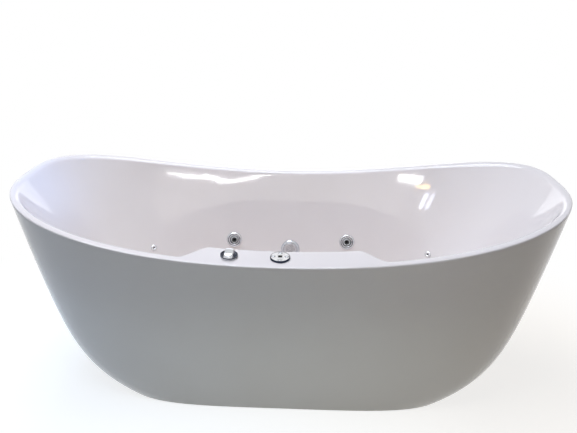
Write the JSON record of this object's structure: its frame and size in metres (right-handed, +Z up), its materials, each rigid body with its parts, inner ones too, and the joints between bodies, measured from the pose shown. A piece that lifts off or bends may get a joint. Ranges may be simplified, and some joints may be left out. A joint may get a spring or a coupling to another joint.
{
  "type": "jetted bathtub",
  "caption": "Oval free-standing jetted bath with two raised ends, wall jets, a suction fitting, an air control knob and a keypad on its flat side rim.",
  "frame": {"origin": "middle of the bath in plan, on the floor it stands on", "axes": "+X along the bath's length, to the right as the bather at the control side sees it; +Y across it, from the side with the controls to the side with the jets seen in the picture; +Z up"},
  "size_m": [1.6988, 0.7358, 0.7202],
  "materials": {
    "white_acrylic": "gloss, cast sheet",
    "chrome": "polished plating",
    "white_abs": "moulded, gloss",
    "black_abs": "moulded, satin",
    "clear_pvc": "extruded, smooth",
    "white_pvc": "extruded, smooth",
    "chipboard": "sanded, resin coated",
    "zinc_steel": "zinc plated",
    "motor_paint": "powder coated, satin",
    "aluminium_casting": "die cast",
    "rubber": "moulded",
    "display_window": "gloss, smoked",
    "cable_pvc": "extruded, satin"
  },
  "bodies": {
    "tub": {"basin_shell": "white_acrylic", "outer_apron": "white_acrylic", "base_board": "chipboard", "support_frame": "zinc_steel", "pump_shelf": "zinc_steel", "control_shelf": "zinc_steel", "foot_lock_nuts": "zinc_steel", "wall_lock_nuts": "white_abs", "suction_fitting": "white_abs", "suction_cover": "chrome", "pump_fan_cover": "black_abs", "pump_motor": "motor_paint", "pump_seal_plate": "aluminium_casting", "pump_volute": "black_abs", "pump_pads": "rubber", "pump_saddle": "black_abs", "pressure_pipe": "white_pvc", "air_pipe": "clear_pvc", "suction_pipe": "white_pvc", "air_valve": "black_abs", "keypad_housing": "chrome", "keypad_window": "display_window", "deck_lock_nuts": "black_abs", "drain_fitting": "chrome", "waste_tee": "white_pvc", "overflow_fitting": "chrome", "overflow_pipe": "white_pvc", "control_box": "black_abs", "keypad_cable": "cable_pvc", "jet_back_left_body": "white_abs", "jet_back_right_body": "white_abs", "jet_front_left_body": "white_abs", "jet_front_right_body": "white_abs", "small_jet_back_left": "chrome", "small_jet_back_right": "chrome", "small_jet_front_left": "chrome", "small_jet_front_right": "chrome"},
    "jet_back_left_ring": {"jet_back_left_ring": "chrome"},
    "jet_back_left_nozzle": {"jet_back_left_nozzle": "white_abs"},
    "jet_back_right_ring": {"jet_back_right_ring": "chrome"},
    "jet_back_right_nozzle": {"jet_back_right_nozzle": "white_abs"},
    "jet_front_left_ring": {"jet_front_left_ring": "chrome"},
    "jet_front_left_nozzle": {"jet_front_left_nozzle": "white_abs"},
    "jet_front_right_ring": {"jet_front_right_ring": "chrome"},
    "jet_front_right_nozzle": {"jet_front_right_nozzle": "white_abs"},
    "air_knob": {"air_knob": "chrome"},
    "keypad_button_left": {"keypad_button_left": "chrome"},
    "keypad_button_right": {"keypad_button_right": "chrome"},
    "keypad_button_front": {"keypad_button_front": "chrome"},
    "keypad_button_back": {"keypad_button_back": "chrome"},
    "drain_plug": {"drain_plug": "chrome"},
    "pump_rotor": {"pump_rotor": "zinc_steel"},
    "foot_left_front": {"foot_left_front": "zinc_steel"},
    "foot_left_back": {"foot_left_back": "zinc_steel"},
    "foot_middle_front": {"foot_middle_front": "zinc_steel"},
    "foot_middle_back": {"foot_middle_back": "zinc_steel"},
    "foot_right_front": {"foot_right_front": "zinc_steel"},
    "foot_right_back": {"foot_right_back": "zinc_steel"}
  },
  "joints": [
    {"name": "jet_back_left_flow", "type": "hinge", "parent": "tub", "child": "jet_back_left_ring", "pos_m": [-0.22, 0.25959, 0.35], "axis": [0.0748, -0.9493, 0.3054], "range_deg": [0, 90]},
    {"name": "jet_back_left_aim", "type": "hinge", "parent": "jet_back_left_ring", "child": "jet_back_left_nozzle", "pos_m": [-0.22015, 0.26149, 0.34939], "axis": [0.9972, 0.0712, -0.0229], "range_deg": [-12, 12]},
    {"name": "jet_back_right_flow", "type": "hinge", "parent": "tub", "child": "jet_back_right_ring", "pos_m": [0.22, 0.25959, 0.35], "axis": [-0.0748, -0.9493, 0.3054], "range_deg": [0, 90]},
    {"name": "jet_back_right_aim", "type": "hinge", "parent": "jet_back_right_ring", "child": "jet_back_right_nozzle", "pos_m": [0.22015, 0.26149, 0.34939], "axis": [0.9972, -0.0712, 0.0229], "range_deg": [-12, 12]},
    {"name": "jet_front_left_flow", "type": "hinge", "parent": "tub", "child": "jet_front_left_ring", "pos_m": [-0.365, -0.23953, 0.35], "axis": [0.1964, 0.9195, 0.3405], "range_deg": [0, 90]},
    {"name": "jet_front_left_aim", "type": "hinge", "parent": "jet_front_left_ring", "child": "jet_front_left_nozzle", "pos_m": [-0.36539, -0.24136, 0.34932], "axis": [0.9805, -0.1842, -0.0682], "range_deg": [-12, 12]},
    {"name": "jet_front_right_flow", "type": "hinge", "parent": "tub", "child": "jet_front_right_ring", "pos_m": [0.365, -0.23953, 0.35], "axis": [-0.1964, 0.9195, 0.3405], "range_deg": [0, 90]},
    {"name": "jet_front_right_aim", "type": "hinge", "parent": "jet_front_right_ring", "child": "jet_front_right_nozzle", "pos_m": [0.36539, -0.24136, 0.34932], "axis": [0.9805, 0.1842, 0.0682], "range_deg": [-12, 12]},
    {"name": "air_knob_turn", "type": "hinge", "parent": "tub", "child": "air_knob", "pos_m": [-0.148, -0.32102, 0.6075], "axis": [0.0472, 0, 0.9989], "range_deg": [0, 270]},
    {"name": "keypad_button_left_press", "type": "slide", "parent": "tub", "child": "keypad_button_left", "axis": [-0.0026, 0, -1], "range_m": [0, 0.001], "stiffness_N_per_m": 600, "springref_m": -0.001},
    {"name": "keypad_button_right_press", "type": "slide", "parent": "tub", "child": "keypad_button_right", "axis": [-0.0026, 0, -1], "range_m": [0, 0.001], "stiffness_N_per_m": 600, "springref_m": -0.001},
    {"name": "keypad_button_front_press", "type": "slide", "parent": "tub", "child": "keypad_button_front", "axis": [-0.0026, 0, -1], "range_m": [0, 0.001], "stiffness_N_per_m": 600, "springref_m": -0.001},
    {"name": "keypad_button_back_press", "type": "slide", "parent": "tub", "child": "keypad_button_back", "axis": [-0.0026, 0, -1], "range_m": [0, 0.001], "stiffness_N_per_m": 600, "springref_m": -0.001},
    {"name": "drain_plug_lift", "type": "slide", "parent": "tub", "child": "drain_plug", "axis": [0, 0, 1], "range_m": [0, 0.009]},
    {"name": "pump_rotor_spin", "type": "hinge", "parent": "tub", "child": "pump_rotor", "pos_m": [0.6, -0.11, 0.168], "axis": [0, 1, 0], "continuous": true},
    {"name": "foot_left_front_screw", "type": "slide", "parent": "tub", "child": "foot_left_front", "axis": [0, 0, 1], "range_m": [-0.02, 0]},
    {"name": "foot_left_back_screw", "type": "slide", "parent": "tub", "child": "foot_left_back", "axis": [0, 0, 1], "range_m": [-0.02, 0]},
    {"name": "foot_middle_front_screw", "type": "slide", "parent": "tub", "child": "foot_middle_front", "axis": [0, 0, 1], "range_m": [-0.02, 0]},
    {"name": "foot_middle_back_screw", "type": "slide", "parent": "tub", "child": "foot_middle_back", "axis": [0, 0, 1], "range_m": [-0.02, 0]},
    {"name": "foot_right_front_screw", "type": "slide", "parent": "tub", "child": "foot_right_front", "axis": [0, 0, 1], "range_m": [-0.02, 0]},
    {"name": "foot_right_back_screw", "type": "slide", "parent": "tub", "child": "foot_right_back", "axis": [0, 0, 1], "range_m": [-0.02, 0]}
  ]
}
